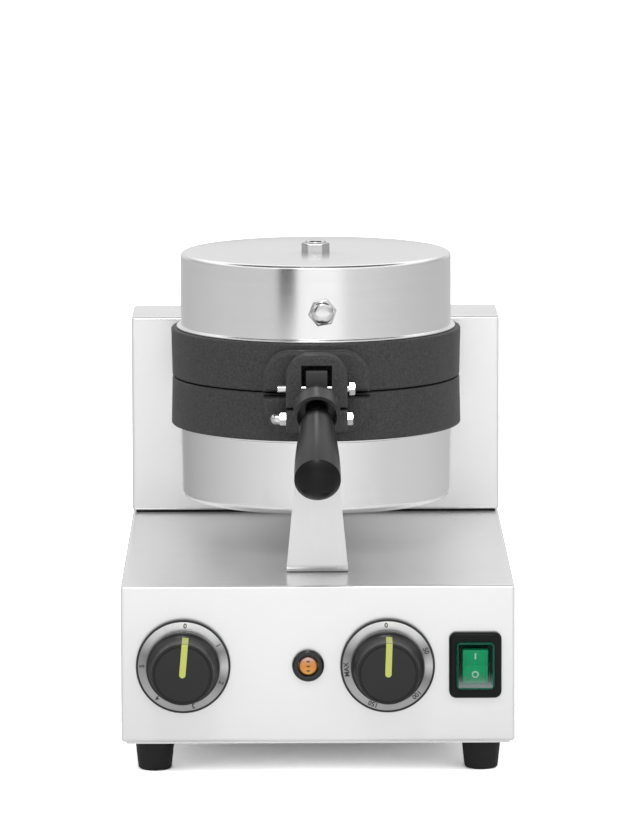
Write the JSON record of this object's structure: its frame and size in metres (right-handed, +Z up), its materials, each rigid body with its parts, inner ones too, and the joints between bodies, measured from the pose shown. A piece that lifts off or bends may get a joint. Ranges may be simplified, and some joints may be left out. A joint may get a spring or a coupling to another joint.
{
  "type": "burger press",
  "caption": "Countertop press with two heated round plates on a control box: a hinged lid, a latch handle, a timer, a thermostat, a lamp and a covered switch.",
  "frame": {"origin": "centre of the outline on the table, under the rubber feet", "axes": "+X to the right, +Y to the back (the controls face -Y), +Z up"},
  "size_m": [0.25, 0.441, 0.3277],
  "materials": {
    "steel_sheet": "brushed",
    "casing_steel": "brushed",
    "zinc_fastener": "bright plated",
    "cast_plate": "matt dark non-stick coat on fine cast grain",
    "black_lever": "matt black",
    "strut_steel": "brushed",
    "hinge_steel": "matt dark grey",
    "black_phenolic": "gloss black",
    "knob_plastic": "satin charcoal",
    "pointer_paint": "satin pale green",
    "dial_rim": "satin black",
    "dial_metal": "circular brushed with printed marks",
    "black_plastic": "satin black",
    "lamp_amber": "clear amber",
    "cover_clear": "clear moulded",
    "rocker_green": "gloss green",
    "rubber_black": "matt black",
    "gasket_rubber": "matt black",
    "mineral_wool": "needled fibre mat",
    "heater_steel": "heat-darkened steel tube",
    "copper_bulb": "dull copper",
    "terminal_ceramic": "glazed white",
    "body_plastic": "matt ivory",
    "gland_plastic": "matt black"
  },
  "bodies": {
    "cabinet": {"base_floor": "steel_sheet", "base_housing": "steel_sheet", "bracket_nuts": "zinc_fastener", "cable_glands": "gland_plastic", "column_back_cover": "steel_sheet", "column_gasket": "gasket_rubber", "column_housing": "steel_sheet", "dial_bezels": "dial_rim", "feet": "rubber_black", "foot_screws": "zinc_fastener", "frame_screws": "zinc_fastener", "front_strut": "strut_steel", "hinge_bracket": "hinge_steel", "hinge_pin": "zinc_fastener", "lamp_bezel": "black_plastic", "lamp_lens": "lamp_amber", "latch_bolt": "zinc_fastener", "latch_cap_nut": "zinc_fastener", "lead_tube": "steel_sheet", "lower_cap_nut": "zinc_fastener", "lower_casing": "casing_steel", "lower_clamp_nut": "zinc_fastener", "lower_heater": "heater_steel", "lower_heater_clamp": "steel_sheet", "lower_insulation": "mineral_wool", "lower_plate": "cast_plate", "lower_stud": "zinc_fastener", "sheet_screws": "zinc_fastener", "support_bolt": "zinc_fastener", "switch_cover": "cover_clear", "switch_frame": "black_plastic", "terminal_block": "terminal_ceramic", "thermostat_body": "terminal_ceramic", "thermostat_bulb": "copper_bulb", "thermostat_dial": "dial_metal", "timer_body": "body_plastic", "timer_dial": "dial_metal"},
    "lid": {"upper_plate": "cast_plate", "upper_heater": "heater_steel", "upper_heater_clamp": "steel_sheet", "upper_clamp_nut": "zinc_fastener", "upper_insulation": "mineral_wool", "upper_stud": "zinc_fastener", "upper_casing": "casing_steel", "upper_cap_nut": "zinc_fastener", "side_bracket": "steel_sheet", "side_bolt": "zinc_fastener", "side_cap_nut": "zinc_fastener", "lid_gland": "gland_plastic", "pivot_bolt": "zinc_fastener"},
    "latch": {"handle_lever": "black_lever", "handle_stud": "zinc_fastener", "handle_grip": "black_phenolic"},
    "timer_dial_knob": {"timer_shaft": "zinc_fastener", "timer_knob": "knob_plastic", "timer_pointer": "pointer_paint"},
    "thermostat_dial_knob": {"thermostat_shaft": "zinc_fastener", "thermostat_knob": "knob_plastic", "thermostat_pointer": "pointer_paint"},
    "rocker": {"switch_rocker": "rocker_green"}
  },
  "joints": [
    {"name": "lid_hinge", "type": "hinge", "parent": "cabinet", "child": "lid", "pos_m": [0, 0.12047, 0.2496], "axis": [-1, 0, 0], "range_deg": [0, 95]},
    {"name": "latch_pivot", "type": "hinge", "parent": "lid", "child": "latch", "pos_m": [0, -0.09953, 0.24], "axis": [-1, 0, 0], "range_deg": [0, 50]},
    {"name": "timer_turn", "type": "hinge", "parent": "cabinet", "child": "timer_dial_knob", "pos_m": [-0.0854, -0.16453, 0.072], "axis": [0, 1, 0], "range_deg": [0, 270]},
    {"name": "thermostat_turn", "type": "hinge", "parent": "cabinet", "child": "thermostat_dial_knob", "pos_m": [0.0442, -0.16453, 0.072], "axis": [0, 1, 0], "range_deg": [0, 265]},
    {"name": "rocker_tilt", "type": "hinge", "parent": "cabinet", "child": "rocker", "pos_m": [0.0998, -0.16253, 0.072], "axis": [-1, 0, 0], "range_deg": [0, 18]}
  ]
}
